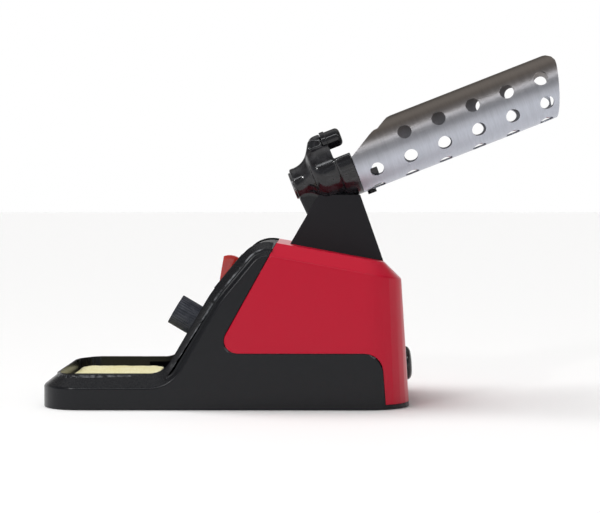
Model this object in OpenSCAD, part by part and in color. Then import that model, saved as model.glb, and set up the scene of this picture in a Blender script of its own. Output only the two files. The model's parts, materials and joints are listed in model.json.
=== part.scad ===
// Soldering iron station: a low housing with a sponge tray, a control panel and a perforated
// iron guard on a pedestal. Drawn with x measured from the tray's front face, y from the middle
// plane and z from the table, then centred on the origin. Lengths are in millimetres.

/* [Housing] */
// Length of the housing at its foot
body_length = 236.7; // [232:0.1:241]
// Width of the housing
body_width = 122; // [118:1:126]
// Radius of the housing's corners seen from above
corner_radius = 24; // [20:1:26]
// Thickness of the moulded walls
wall = 2.5; // [2:0.1:3]
// Height of the tray's rim
rim_height = 22.5; // [21:0.5:24]
// Depth of the chamfer band that runs round the top edges
band_drop = 8.5; // [7:0.5:9]
// Width of the chamfer band along the sides
band_run = 9; // [8:0.5:10]
// Width of the chamfer band at the front and at the rear
end_band_run = 10.8; // [10:0.1:12]
// How far the rear wall leans in from foot to top
rear_lean = 5.3; // [4:0.1:6]

/* [Sponge tray] */
// Height of the tray's floor
tray_floor = 5.8; // [5.6:0.1:6.5]
// Thickness of the sponge
sponge_thick = 11; // [9:0.5:12]

/* [Control panel] */
// How far the panel lies below the band's inner edge
panel_recess = 1.2; // [0.8:0.1:1.6]
// Thickness of the panel
panel_thick = 2.5; // [2:0.1:3]
// Diameter of the temperature knob
knob_diameter = 22; // [20:0.5:24]
// Number of grip ribs on the knob
knob_ribs = 36; // [24:2:40]
// Radius of the rocker's round ends, about its pin
rocker_radius = 11.2; // [10.8:0.1:11.4]
// Width of the rocker
rocker_width = 15; // [13:0.5:16]
// How far the rocker stands up at rest
rocker_tilt = 30; // [26:1:30]

/* [Iron holder] */
// Angle of the guard above the horizontal
guard_angle = 21.36; // [20:0.1:23]
// Outer radius of the guard
guard_radius = 21.3; // [21:0.1:21.6]
// Thickness of the guard's sheet steel
guard_sheet = 1.2; // [1:0.1:1.3]
// Where the guard's lower edge ends, along its axis
guard_end_low = 166.3; // [160:0.1:170]
// Where the guard's upper edge ends, along its axis
guard_end_high = 178.5; // [172:0.1:180]
// Diameter of the vent holes
vent_diameter = 9.4; // [8:0.1:10]
// Spacing of the vent holes along the guard
vent_pitch = 23.9; // [23:0.1:24.2]
// Radius of the hole that the iron passes through
ring_bore = 7; // [6:0.5:7.5]

/* [Hidden] */
$fn = 64;

gap = 0.3;
skin = 0.15;
far = 400;
half = body_width / 2;
base_z = 0.4;
strip_top = 3.2;
arc_steps = 7;

// Side outline of the top, front to rear: corner points, and the radius of each bend
// (positive where the outline is convex).
rim_start = [corner_radius, rim_height];
foot_bend = [78.7, rim_height];
panel_bend = [109.3, 74.4];
crown_bend = [137.6, 108.4];
top_end = [body_length - rear_lean - end_band_run, 93.2];
bends = [-15.5, 70, 20];
outline = [rim_start, foot_bend, panel_bend, crown_bend, top_end];

rear_centre_x = top_end[0] - (corner_radius - end_band_run);
rear_top_x = rear_centre_x + corner_radius;
rear_reach = body_length - rear_centre_x;

// Height of the panel's lower edge, where it meets the tray's rear wall
panel_foot_z = 11;
panel_half = half - band_run - 0.4;

guard_origin = [174.2, 147.6];
guard_tip_x = guard_origin[0] + guard_end_low * cos(guard_angle) + guard_radius * sin(guard_angle);
total_length = guard_tip_x;

// ---------------------------------------------------------------- outline functions
function heading(a, b) = atan2(b[1] - a[1], b[0] - a[0]);
function inward(angle) = [sin(angle), -cos(angle)];
function bend_centre(before, corner, after, radius) =
    let (n0 = inward(heading(before, corner)), n1 = inward(heading(corner, after)))
    corner + radius * (n0 + n1) / (1 + n0 * n1);
function bend_points(before, corner, after, radius, depth) =
    let (a0 = heading(before, corner), a1 = heading(corner, after),
         centre = bend_centre(before, corner, after, radius))
    [for (k = [0:arc_steps]) centre - (radius - depth) * inward(a0 + (a1 - a0) * k / arc_steps)];

// The top outline, moved inwards by depth
function top_outline(depth) = [
    rim_start + depth * inward(0),
    for (k = [0:2]) each bend_points(outline[k], outline[k + 1], outline[k + 2], bends[k], depth),
    top_end + depth * inward(heading(crown_bend, top_end))];

// The panel's outline: the same slope and crown, straight down to its foot at the tray's rear wall
function panel_outline(depth, foot_z) =
    let (slope = heading(foot_bend, panel_bend),
         foot = foot_bend + (foot_z - rim_height) / sin(slope) * [cos(slope), sin(slope)])
    [foot + depth * inward(slope),
     each bend_points(foot, panel_bend, crown_bend, bends[1], depth),
     each bend_points(panel_bend, crown_bend, top_end, bends[2], depth),
     top_end + depth * inward(heading(crown_bend, top_end))];

function reversed(list) = [for (k = [len(list) - 1:-1:0]) list[k]];
function polar(radius, angle) = radius * [cos(angle), sin(angle)];

// Height of the rear slope at x, moved inwards by depth
function line_z(depth, x) =
    let (a = heading(crown_bend, top_end), p = top_end + depth * inward(a)) p[1] + (x - p[0]) * tan(a);

// One cross-section of the housing: foot, outer edge of the band, inner edge, and their mirrors
function rib(xb, xo, zo, wo, xi, zi, wi, zb) =
    [[xb, -wo, zb], [xo, -wo, zo], [xi, -wi, zi], [xi, wi, zi], [xo, wo, zo], [xb, wo, zb]];

// All cross-sections of the housing's form, with its walls moved inwards by depth
function ribs(depth, zb) =
    let (ro = corner_radius - depth, rx = corner_radius - end_band_run - depth,
         ry = corner_radius - band_run - depth / 2, hc = half - corner_radius,
         zo = rim_height - band_drop - depth / 2, edge = band_drop + depth / 2,
         inner = top_outline(depth), outer = top_outline(edge))
    [for (k = [0:arc_steps]) let (a = 90 * k / arc_steps)
        rib(corner_radius - ro * cos(a), corner_radius - ro * cos(a), zo, hc + ro * sin(a),
            corner_radius - rx * cos(a), rim_height - depth, hc + ry * sin(a), zb),
     for (k = [1:len(inner) - 2])
        rib(outer[k][0], outer[k][0], outer[k][1], hc + ro, inner[k][0], inner[k][1], hc + ry, zb),
     for (k = [0:arc_steps]) let (a = 90 * k / arc_steps, xo = rear_centre_x + ro * sin(a),
         xi = rear_centre_x + rx * sin(a))
        rib(rear_centre_x + (rear_reach - depth) * sin(a), xo, line_z(edge, xo), hc + ro * cos(a),
            xi, line_z(depth, xi), hc + ry * cos(a), zb)];

// ---------------------------------------------------------------- shared shapes
module placed() translate([-total_length / 2, 0, 0]) children();

// Extrudes a side view (x, z) from y0 to y1
module side(y0, y1) translate([0, y1, 0]) rotate([90, 0, 0]) linear_extrude(y1 - y0) children();

// A solid through all the ribs
module form(depth, zb) {
    rows = ribs(depth, zb);
    last = len(rows) - 1;
    points = [for (row = rows) each row];
    walls = [for (j = [0:last - 1], k = [0:5])
             let (a = 6 * j + k, b = 6 * j + (k + 1) % 6, c = b + 6, d = a + 6)
             each [[a, b, c], [a, c, d]]];
    n = 6 * last;
    ends = [[0, 5, 4], [0, 4, 1], [1, 4, 3], [1, 3, 2],
            [n, n + 1, n + 4], [n, n + 4, n + 5], [n + 1, n + 2, n + 3], [n + 1, n + 3, n + 4]];
    polyhedron(points = points, faces = concat(walls, ends), convexity = 6);
}

module shell() difference() {
    form(0, base_z);
    form(wall, base_z - 2);
}

// A slab with round corners, between x0 and x1
module round_slab(x0, x1, w, r, z0, z1) {
    translate([x0 + r, -w, z0]) cube([x1 - x0 - 2 * r, 2 * w, z1 - z0]);
    translate([x0, -w + r, z0]) cube([x1 - x0, 2 * (w - r), z1 - z0]);
    for (x = [x0 + r, x1 - r], y = [-w + r, w - r]) translate([x, y, z0]) cylinder(r = r, h = z1 - z0);
}

// The region that the rear cover takes, in side view, shrunk by a clearance
seam_foot = [111.8, 36];
seam_angle = 60.8;
seam_radius = 8.5;
skirt_top = 36;
skirt_end = 217.9;
skirt_radius = 12;
skirt_lean = 4.4;

module cover_region(clearance) {
    c = clearance;
    seam_high = seam_foot + polar(110, seam_angle) + c * inward(seam_angle);
    turn_a = [seam_foot[0] + seam_radius / tan(seam_angle / 2), skirt_top + seam_radius];
    turn_b = [skirt_end - skirt_radius * (1 - sin(skirt_lean)) / cos(skirt_lean),
              skirt_top - skirt_radius];
    polygon([
        seam_high,
        for (k = [0:6]) let (a = 90 + seam_angle + (180 - seam_angle) * k / 6)
            turn_a + polar(seam_radius - c, a),
        for (k = [0:6]) let (a = 90 - (90 - skirt_lean) * k / 6)
            turn_b + polar(skirt_radius + c, a),
        [skirt_end + (skirt_top - strip_top) * tan(skirt_lean) + c, strip_top + c],
        [far, strip_top + c],
        [far, seam_high[1]]]);
}

// The space above the panel, between the side bands
module panel_space(depth) {
    foot_z = panel_foot_z - gap;
    front = tray_end - tray_corner;
    polygon(concat(panel_outline(depth, foot_z),
                   [[far, rim_height], [far, far], [front, far], [front, foot_z]]));
}

module panel_strip(top, bottom)
    polygon(concat(panel_outline(top, panel_foot_z), reversed(panel_outline(bottom, panel_foot_z))));

// A frame on the panel: local x runs up the panel, local z stands out of it
module on_panel(point, angle) translate([point[0], 0, point[1]]) rotate([0, -angle, 0]) children();

knob_point = [96, 51.85];
knob_slope = heading(foot_bend, panel_bend);
rocker_point = [118.3, 85.6];
rocker_slope = heading(panel_bend, crown_bend);

// A frame on the guard's axis: local x runs along it, local z stands above it
module on_axis(along) translate([guard_origin[0], 0, guard_origin[1]]) rotate([0, -guard_angle, 0])
    translate([along, 0, 0]) children();

// Turns a profile of (along, radius) points round the local x axis
module turned() rotate([0, 90, 0]) rotate_extrude() rotate([0, 0, 90]) mirror([0, 1, 0]) children();

// A pan-head screw, head at the top, shank down to -length
module screw(head_r, head_h, shank_r, length) {
    difference() {
        cylinder(r = head_r, h = head_h);
        translate([-head_r * 0.6, -0.3, head_h - 0.5]) cube([head_r * 1.2, 0.6, 1]);
        translate([-0.3, -head_r * 0.6, head_h - 0.5]) cube([0.6, head_r * 1.2, 1]);
    }
    translate([0, 0, -length]) cylinder(r = shank_r, h = length);
}

// ---------------------------------------------------------------- housing
tray_end = 71.5;
tray_half = half - band_run;
tray_corner = 13;
tray_wall = 2;
tray_base = 2.4;
panel_back = panel_recess + panel_thick;
ledge_y = 53;
ledge_half = 5.6;
foot_spots = [for (x = [24, 212], y = [-42, 42]) [x, y]];
housing_bosses = [for (y = [-51, 51]) [86, y]];
cover_bosses = [for (x = [136, 196], y = [-50, 50]) [x, y]];
boss_radius = 4;
housing_boss_height = 15;
cover_boss_height = 56;
screw_hole = 1.3;
clear_hole = 1.7;

module base_housing() color([0.13, 0.135, 0.15]) placed() {
    difference() {
        shell();
        side(-far, far) cover_region(-skin);
        side(-tray_half, tray_half) panel_space(panel_back + 0.2);
        tray_well();
    }
    // tray walls and floor
    difference() {
        round_slab(end_band_run - tray_wall, tray_end + tray_wall, tray_half + tray_wall,
                   tray_corner + tray_wall, tray_floor - tray_base, rim_height - 1);
        tray_well();
        side(-far, far) panel_space(panel_back + 0.2);
    }
    // ledges that the panel is screwed to
    for (s = [-1, 1]) difference() {
        side(s * ledge_y - ledge_half, s * ledge_y + ledge_half)
            panel_strip(panel_back + gap, panel_back + gap + wall);
        side(-far, far) cover_region(-skin);
        for (p = panel_screw_spots) on_panel(p[0], p[2]) translate([0, p[1], -12])
            cylinder(r = screw_hole, h = 20);
    }
    for (b = housing_bosses) difference() {
        screw_boss(b, half - 2, strip_top, housing_boss_height, strip_top, housing_boss_height);
        translate([b[0], b[1], strip_top - 1]) cylinder(r = screw_hole, h = 12);
    }
}

module tray_well() round_slab(end_band_run, tray_end, tray_half, tray_corner, tray_floor, far);

// A screw boss with a rib that ties it to the side wall
module screw_boss(spot, wall_y, low, height, rib_low, rib_height) {
    translate([spot[0], spot[1], low]) cylinder(r = boss_radius, h = height);
    translate([spot[0] - 1, min(spot[1], sign(spot[1]) * wall_y), rib_low])
        cube([2, wall_y - abs(spot[1]), rib_height]);
}

panel_screw_spots = [for (s = [-1, 1]) each [[[84.5, 30.5], s * 49.5, knob_slope],
                                            [[103, 62.5], s * 49.5, knob_slope],
                                            [[131, 99], s * 49.5, rocker_slope]]];

module control_panel() color([0.12, 0.125, 0.14]) placed() difference() {
    side(-panel_half, panel_half) panel_strip(panel_recess, panel_recess + panel_thick);
    side(-far, far) cover_region(-gap);
    on_panel(knob_point, knob_slope) translate([0, 0, -10]) cylinder(r = 3.7, h = 20);
    on_panel(rocker_point, rocker_slope) translate([-13, -9.2, -10]) cube([26, 18.4, 20]);
    for (p = panel_screw_spots) on_panel(p[0], p[2]) translate([0, p[1], -10])
        cylinder(r = clear_hole, h = 20);
}

// Driven from inside: the heads bear on the ledges
module panel_screws() color("dimgray") placed()
    for (p = panel_screw_spots) on_panel(p[0], p[2]) translate([0, p[1], -panel_back - wall - 0.45])
        rotate([180, 0, 0]) screw(2.6, 1.6, 1.25, 4.5);

module rear_cover() color([0.75, 0.06, 0.16]) placed() difference() {
    union() {
        intersection() {
            shell();
            side(-far, far) cover_region(skin);
        }
        for (b = cover_bosses)
            screw_boss(b, half - 1.5, strip_top, cover_boss_height, skirt_top + 2, 21);
    }
    for (b = cover_bosses) translate([b[0], b[1], strip_top - 1]) cylinder(r = screw_hole, h = 12);
    for (p = pedestal_bosses) on_top(p[0]) translate([0, p[1], -10]) cylinder(r = clear_hole, h = 20);
    on_top(head_screw_x) translate([0, 0, -10]) cylinder(r = 5, h = 20);
    for (y = [0, socket_side]) on_rear(y, connector_height) translate([0, 0, -10])
        cylinder(r = connector_radius + 0.1, h = 20);
}

plate_edge = wall + gap;
plate_top = 3;
head_recess = 1.2;
foot_radius = 7;
foot_stem = 2.4;

module bottom_plate() color([0.2, 0.2, 0.22]) placed() difference() {
    union() {
        round_slab(plate_edge, 150, half - plate_edge, corner_radius - plate_edge, base_z, plate_top);
        round_slab(100, body_length - plate_edge, half - plate_edge, 26, base_z, plate_top);
    }
    for (f = foot_spots) translate([f[0], f[1], 0]) cylinder(r = foot_stem + 0.1, h = 5);
    for (b = concat(housing_bosses, cover_bosses)) translate([b[0], b[1], 0]) {
        cylinder(r = clear_hole, h = 5);
        cylinder(r = 3.1, h = base_z + head_recess);
    }
    // cooling slots
    for (x = [96:8:136]) translate([x, -22, 0]) cube([3, 44, 5]);
    for (p = transformer_feet) translate([p[0], p[1], 0]) cylinder(r = strap_hole, h = 5);
    for (p = pillar_spots) translate([p[0], p[1], 0]) cylinder(r = rivet_radius + 0.05, h = 5);
}

module rubber_feet() color([0.06, 0.06, 0.065]) placed()
    for (f = foot_spots) translate([f[0], f[1], 0]) {
        cylinder(r = foot_radius, h = base_z);
        cylinder(r = foot_stem, h = plate_top);
    }

module base_screws() color("dimgray") placed()
    for (b = concat(housing_bosses, cover_bosses)) translate([b[0], b[1], base_z + head_recess])
        rotate([180, 0, 0]) screw(2.8, 1, 1.25, 9);

module sponge() color([0.93, 0.89, 0.55]) placed()
    round_slab(end_band_run + 0.8, tray_end - 0.8, tray_half - 0.8, tray_corner - 1, tray_floor,
               tray_floor + sponge_thick);

// ---------------------------------------------------------------- temperature control
knob_face = 16.3;
knob_back = -0.5;
pointer_depth = 0.6;
shaft_radius = 3;
shaft_top = 10.5;
bush_radius = 3.5;

// Grip outline with one flat-topped rib per step
function knob_outline() =
    let (crest = knob_diameter / 2, root = crest - 0.5, step = 360 / knob_ribs)
    [for (k = [0:knob_ribs - 1]) let (a = k * step)
        each [polar(root, a), polar(crest, a + step * 0.25), polar(crest, a + step * 0.6),
              polar(root, a + step * 0.85)]];

module knob_slot(height) translate([0, -0.7, knob_face - pointer_depth])
    cube([knob_diameter / 2 - 1.6, 1.4, height]);

module temperature_knob() color([0.16, 0.18, 0.23]) placed() on_panel(knob_point, knob_slope) difference() {
    union() {
        translate([0, 0, knob_back + 1]) linear_extrude(knob_face - knob_back - 2) polygon(knob_outline());
        translate([0, 0, knob_back]) cylinder(r = knob_diameter / 2 - 0.8, h = knob_face - knob_back);
    }
    translate([0, 0, knob_back - 1]) cylinder(r = shaft_radius, h = shaft_top - knob_back + 1);
    translate([0, 0, knob_back - 1]) cylinder(r = 7.4, h = 5.5);
    knob_slot(2);
}

module knob_pointer() color([0.92, 0.92, 0.9]) placed() on_panel(knob_point, knob_slope)
    knob_slot(pointer_depth);

module dial_ring() color([0.75, 0.76, 0.78]) placed() on_panel(knob_point, knob_slope)
    translate([0, 0, -panel_recess]) difference() {
        cylinder(r = 17, h = 0.4);
        translate([0, 0, -1]) cylinder(r = 12, h = 3);
    }

module pot_body() color([0.55, 0.5, 0.3]) placed() on_panel(knob_point, knob_slope) difference() {
    union() {
        translate([0, 0, -panel_back - 9]) cylinder(r = 8.2, h = 8.4);
        translate([0, 0, -panel_back - 1]) cylinder(r = bush_radius, h = 7);
    }
    translate([0, 0, -panel_back - 7.5]) cylinder(r = shaft_radius + 0.05, h = 20);
}

module pot_shaft() color("silver") placed() on_panel(knob_point, knob_slope)
    translate([0, 0, -panel_back - 7.3]) cylinder(r = shaft_radius, h = shaft_top + panel_back + 6.3);

module pot_washer() color("gainsboro") placed() on_panel(knob_point, knob_slope)
    translate([0, 0, -panel_recess]) difference() {
        cylinder(r = 6, h = 0.5);
        translate([0, 0, -1]) cylinder(r = bush_radius + 0.05, h = 3);
    }

module pot_nut() color("gainsboro") placed() on_panel(knob_point, knob_slope)
    translate([0, 0, -panel_recess + 0.5]) difference() {
        cylinder(r = 5.8, h = 2, $fn = 6);
        translate([0, 0, -1]) cylinder(r = bush_radius, h = 4);
    }

// ---------------------------------------------------------------- power switch
rocker_face = 5.65;
pin_drop = 0.5;
pin_radius = 1.2;
switch_depth = 20;
terminal_spots = [-7, 0, 7];

// The rocker's pin axis: local y runs along it
module on_pin() placed() on_panel(rocker_point, rocker_slope) translate([0, 0, -pin_drop]) children();
module across(radius, length) rotate([90, 0, 0]) cylinder(r = radius, h = length, center = true);

module switch_frame() color([0.07, 0.07, 0.08]) placed() on_panel(rocker_point, rocker_slope) difference() {
    union() {
        translate([-14.5, -10.5, -panel_recess]) cube([29, 21, 2]);
        translate([-12.8, -9, -switch_depth]) cube([25.6, 18, switch_depth]);
    }
    translate([0, 0, -pin_drop]) across(rocker_radius + gap, rocker_width + 2 * gap);
    translate([0, 0, -pin_drop]) across(pin_radius, 17.4);
    for (x = terminal_spots) translate([x - 0.5, -3.2, -switch_depth - 1]) cube([1, 6.4, 5]);
}

module rocker() color([0.85, 0.08, 0.06]) on_pin() rotate([0, -rocker_tilt, 0]) difference() {
    intersection() {
        across(rocker_radius, rocker_width);
        translate([-15, -10, -4.5]) cube([30, 20, 4.5 + rocker_face]);
    }
    across(pin_radius + 0.05, 20);
    translate([-7, -5, -5]) cube([14, 10, 3.4]);
}

module rocker_pin() color("silver") on_pin() across(pin_radius, 17.2);

module switch_terminals() color("gold") placed() on_panel(rocker_point, rocker_slope)
    for (x = terminal_spots) translate([x - 0.4, -3.15, -switch_depth - 8]) cube([0.8, 6.3, 11]);

// ---------------------------------------------------------------- pedestal and iron holder
pedestal_top = 136.7;
top_slope = heading(crown_bend, top_end);
pedestal_bosses = [for (x = [176, 206], y = [-11, 11]) [x, y]];
bridge_z = 119;
head_screw_x = 190;

// A frame on the housing's top at a given x
module on_top(x) translate([x, 0, line_z(0, x)]) rotate([0, -top_slope, 0]) children();

module pedestal_form(inset, foot) intersection() {
    side(-40, 40) polygon([[159.3 + inset, 104.4 - foot], [178.1 + inset, pedestal_top],
                           [205.6 - inset, pedestal_top], [220.6 - inset, 93.3 - foot]]);
    rotate([90, 0, 90]) translate([0, 0, 140]) linear_extrude(100)
        polygon([[-20.5 + inset, 90 - foot], [-12 + inset, pedestal_top], [12 - inset, pedestal_top],
                 [20.5 - inset, 90 - foot]]);
}

module above_top(clearance) side(-far, far)
    polygon([[100, line_z(-clearance, 100)], [260, line_z(-clearance, 260)], [260, 300], [100, 300]]);

module pedestal() color([0.14, 0.14, 0.15]) placed() difference() {
    intersection() {
        union() {
            difference() {
                pedestal_form(0, 0);
                pedestal_form(3, 30);
            }
            intersection() {
                pedestal_form(0.5, 0);
                translate([150, -30, bridge_z - 3]) cube([80, 60, 3]);
            }
            for (p = pedestal_bosses) on_top(p[0]) translate([0, p[1], 0]) cylinder(r = 3.4, h = 9);
        }
        above_top(0.02);
    }
    for (p = pedestal_bosses) on_top(p[0]) translate([0, p[1], -1]) cylinder(r = screw_hole, h = 9);
    translate([head_screw_x, 0, bridge_z - 10]) cylinder(r = 2.1, h = 20);
    on_axis(0) turned() polygon(head_outline(0.2));
    side(-8.9, 8.9) head_foot(gap);
}

module pedestal_screws() color("dimgray") placed()
    for (p = pedestal_bosses) on_top(p[0]) translate([0, p[1], -wall - 0.02]) rotate([180, 0, 0])
        screw(2.8, 1.8, 1.25, 9);

// Side view of the foot that plugs into the pedestal, with a clearance all round
module head_foot(c)
    polygon([[165.4 - c, 133.9], [170.1 - c, 124.1], [172.6 - c, bridge_z - c / 4],
             [199.5 + c, bridge_z - c / 4], [199.5 + c, 145], [172 - c, 145]]);

collar_front = -13.2;
collar_radius = 11.4;
flare_start = -9;
flare_radius = 15;
sleeve_start = 17.6;
sleeve_end = 28.6;
sleeve_top = 7;
barrel_height = 20;
barrel_radius = 6.3;
barrel_centre = 10.5;
barrel_split = 14.3;
neck_radius = 13;
spigot_end = 42;
funnel_radius = 18.2;

// Outer profile of the holder head: collar, flare, dome and the sleeve that the guard butts against
function head_outline(c) = [
    [collar_front - c, 0], [collar_front - c, collar_radius - 0.8 + c],
    [collar_front + 0.8 - c, collar_radius + c], [flare_start, collar_radius + c],
    for (k = [1:6]) let (a = 40 * k / 6)
        [flare_start, collar_radius + c] + flare_radius * [sin(a), 1 - cos(a)],
    for (k = [0:5]) let (a = 40 - 40 * k / 5) [6.6 - 9 * sin(a), 9.9 + 9 * cos(a) + c],
    [sleeve_start - c, 19.2 + c], [sleeve_start - c, guard_radius + c],
    [sleeve_end + c, guard_radius + c], [sleeve_end + c, 0]];

// The way through the head: ring bore, funnel and spigot
function head_hollow() = [
    [-30, 0], [-30, 8.05], [-8.6, 8.05], [-8.6, ring_bore + 0.2], [-5, ring_bore + 0.2], [3, 15.8],
    [17, 16.2], [19, funnel_radius], [60, funnel_radius], [60, 0]];

module holder_head() color([0.07, 0.07, 0.08]) placed() difference() {
    union() {
        on_axis(0) difference() {
            turned() polygon(head_outline(0));
            translate([22.6, -30, sleeve_top]) cube([20, 60, 30]);
            for (y = [-30, 6]) translate([sleeve_start - 0.1, y, sleeve_top]) cube([20, 24, 30]);
        }
        // the spigot that the guard slips over
        on_axis(0) difference() {
            on_barrel(28, 0) cylinder(r = guard_radius - guard_sheet - 0.15, h = spigot_end - 28);
            translate([20, -30, -8]) cube([40, 60, 60]);
        }
        // neck and barrel
        on_axis(0) side(-5.5, 5.5) polygon(concat(
            [for (a = [0:10:60]) [-9.6, 24.2] + neck_radius * [sin(a), -cos(a)]],
            [[5.4, 23.9], [9, 24.6], [22.4, 20], [22.4, 5], [-9.6, 5]]));
        on_axis(0) on_barrel(barrel_centre) cylinder(r = barrel_radius, h = barrel_split - barrel_centre);
        on_axis(0) on_barrel(barrel_centre) sphere(r = barrel_radius);
        // foot that plugs into the pedestal
        side(-8.6, 8.6) head_foot(0);
    }
    on_axis(0) turned() polygon(head_hollow());
    on_axis(0) on_barrel(barrel_split - 5.2) cylinder(r = 4.5, h = 30);
    on_axis(0) on_barrel(barrel_split) cylinder(r = 7.5, h = 30);
    translate([head_screw_x, 0, bridge_z - 1]) cylinder(r = clear_hole, h = 14);
    on_axis(guard_screw_at) translate([0, 0, -30]) cylinder(r = 1.25, h = 20);
}

// A frame with its local z along the barrel, or along the guard when height is 0
module on_barrel(along, height = barrel_height)
    translate([along, 0, height]) rotate([0, 90, 0]) children();

module head_screw() color("dimgray") placed() translate([head_screw_x, 0, bridge_z - 3])
    rotate([180, 0, 0]) screw(3.6, 2.2, clear_hole, 14);

ring_front = -14.6;

module front_ring() color([0.3, 0.3, 0.32]) placed() on_axis(0) turned()
    polygon([[ring_front, ring_bore + 0.4], [ring_front + 0.4, ring_bore], [-9.2, ring_bore], [-9.2, 8],
             [collar_front, 8], [collar_front, 9.2], [ring_front + 0.4, 9.2], [ring_front, 8.8]]);

cap_ring = 7;
cap_radius = 6.2;
cap_end = 27.8;

// The cap's profile: plug, ring, and a rounded end
function cap_outline() =
    let (face = barrel_split + 0.1, round = 3)
    [[barrel_split - 4.5, 0], [barrel_split - 4.5, 4.4], [face, 4.4], [face, cap_ring],
     [face + 3.3, cap_ring], [face + 3.3, cap_radius],
     for (a = [0:18:90]) [cap_end - round, cap_radius - round] + round * [sin(a), cos(a)],
     [cap_end, 0]];

module barrel_cap() color([0.08, 0.08, 0.09]) placed() on_axis(0) difference() {
    translate([0, 0, barrel_height]) turned() polygon(cap_outline());
    on_barrel(barrel_split - 7) cylinder(r = 3.2, h = 18);
}

// ---------------------------------------------------------------- guard
sheet_edge = 72;
guard_start = 28.7;
guard_screw_at = 34;
// Each row of vent holes: side, angle round the guard, distance of the first hole, number, pitch
vent_rows = [[-1, -76, 39.5, 6, vent_pitch], [-1, -28, 41.6, 6, vent_pitch],
             [-1, 18, 67, 5, vent_pitch], [1, -76, 39.5, 6, vent_pitch],
             [1, -26, 44.6, 6, vent_pitch], [1, 12, 83.8, 5, 21]];

// Side view of what is cut off above the guard's front: a slope with a small step
front_cut = [[20, 4], [29.7, 4], [47, 14.3], [49, 15], [51.6, 15.1], [53.2, 16], [58.1, 18.9],
             [60.2, 19.9], [63, 20.3], [63, 40], [20, 40]];

// Side view of what is cut off at the guard's end: slanted, with round upper corners
end_cut = [[guard_end_low, -22], [guard_end_high - 2.6, 11.5], [guard_end_high - 2.1, 14.5],
           [guard_end_high - 3.1, 17.6], [guard_end_high - 5.6, 19.8], [guard_end_high - 8.5, 20.5],
           [guard_end_high - 8.5, 40], [260, 40], [260, -30], [guard_end_low - 2.4, -30]];

module guard_tube() color([0.72, 0.73, 0.76]) placed() on_axis(0) difference() {
    on_barrel(guard_start, 0) cylinder(r = guard_radius, h = 160);
    on_barrel(20, 0) cylinder(r = guard_radius - guard_sheet, h = 180);
    // open seam along the top
    rotate([90, 0, 90]) linear_extrude(200)
        polygon([[0, 0], polar(60, sheet_edge), polar(60, 180 - sheet_edge)]);
    side(-40, 40) polygon(front_cut);
    side(-40, 40) polygon(end_cut);
    for (row = vent_rows, k = [0:row[3] - 1])
        translate([row[2] + k * row[4], 0, 0]) rotate([row[0] * row[1], 0, 0])
            translate([0, row[0] * 18, 0]) rotate([-row[0] * 90, 0, 0])
                cylinder(r = vent_diameter / 2, h = 8);
    on_guard_screw() cylinder(r = clear_hole, h = 6, center = true);
}

module on_guard_screw() translate([guard_screw_at, 0, -guard_radius]) children();

module guard_screw() color([0.06, 0.06, 0.06]) placed() on_axis(0) on_guard_screw()
    rotate([180, 0, 0]) screw(3, 2.2, 1.25, 4.5);

// ---------------------------------------------------------------- rear connectors
connector_height = 23.6;
connector_radius = 8;
socket_side = 26;
flange_radius = 11.4;
lead_hole = 3.6;
pin_circle = 4;
pin_angles = [0:45:180];
rear_angle = atan2(rear_lean, line_z(band_drop, rear_top_x) - base_z);

// A frame on the rear wall: local z stands out of it
module on_rear(y, z) translate([body_length - (z - base_z) * tan(rear_angle), y, z])
    rotate([0, 90 - rear_angle, 0]) children();

module power_gland() color([0.09, 0.09, 0.1]) placed() on_rear(0, connector_height) difference() {
    union() {
        translate([0, 0, -13]) cylinder(r = connector_radius, h = 14);
        rotate_extrude() polygon([[0, 0], [flange_radius, 0],
            for (a = [0:15:90]) [flange_radius - 5 + 5 * cos(a), 1.6 + 3.6 * sin(a)], [0, 5.2]]);
    }
    translate([0, 0, -20]) cylinder(r = lead_hole, h = 40);
}

// A hexagonal nut inside the rear wall
module rear_nut(y, radius, height) on_rear(y, connector_height) translate([0, 0, -wall - 0.2 - height])
    difference() {
        cylinder(r = radius, h = height, $fn = 6);
        translate([0, 0, -1]) cylinder(r = connector_radius + 0.05, h = height + 2);
    }

module gland_nut() color([0.09, 0.09, 0.1]) placed() rear_nut(0, 11.5, 5);

module iron_socket() color("silver") placed() on_rear(socket_side, connector_height) difference() {
    union() {
        translate([0, 0, -14]) cylinder(r = connector_radius, h = 14.5);
        cylinder(r = 9.6, h = 0.9);
    }
    translate([0, 0, -7]) cylinder(r = 6.8, h = 20);
    translate([0, 0, -20]) cylinder(r = 6.2, h = 40);
}

module socket_insert() color([0.08, 0.08, 0.08]) placed() on_rear(socket_side, connector_height)
    difference() {
        translate([0, 0, -13]) cylinder(r = 6.15, h = 7);
        for (a = pin_angles) rotate([0, 0, a]) translate([pin_circle, 0, -20]) cylinder(r = 0.9, h = 20);
    }

module socket_pins() color("gold") placed() on_rear(socket_side, connector_height)
    for (a = pin_angles) rotate([0, 0, a]) translate([pin_circle, 0, -16]) cylinder(r = 0.85, h = 12.5);

module socket_nut() color("silver") placed() rear_nut(socket_side, 10.5, 3);

// ---------------------------------------------------------------- transformer
core = [57, 24, 48];
core_low = [152, -12, 5];
core_middle = core_low[0] + core[0] / 2;
leg = 19;
window = [9.5, 28.5];
strap_thick = 1.5;
strap_hole = 2.1;
strap_reach = 34;
transformer_feet = [for (s = [-1, 1]) [core_middle + s * strap_reach, 0]];

module transformer_core() color([0.35, 0.36, 0.38]) placed() translate(core_low) difference() {
    cube(core);
    for (x = [leg / 2, core[0] - leg]) translate([x, -1, (core[2] - window[1]) / 2])
        cube([window[0], 40, window[1]]);
}

module transformer_coil() color([0.75, 0.5, 0.15]) placed()
    translate([core_middle, 0, core_low[2] + core[2] / 2]) difference() {
        translate([-18.6, -21, -14]) cube([37.2, 42, 28]);
        translate([-leg / 2 - 0.1, -12.1, -20]) cube([leg + 0.2, 24.2, 40]);
    }

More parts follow.
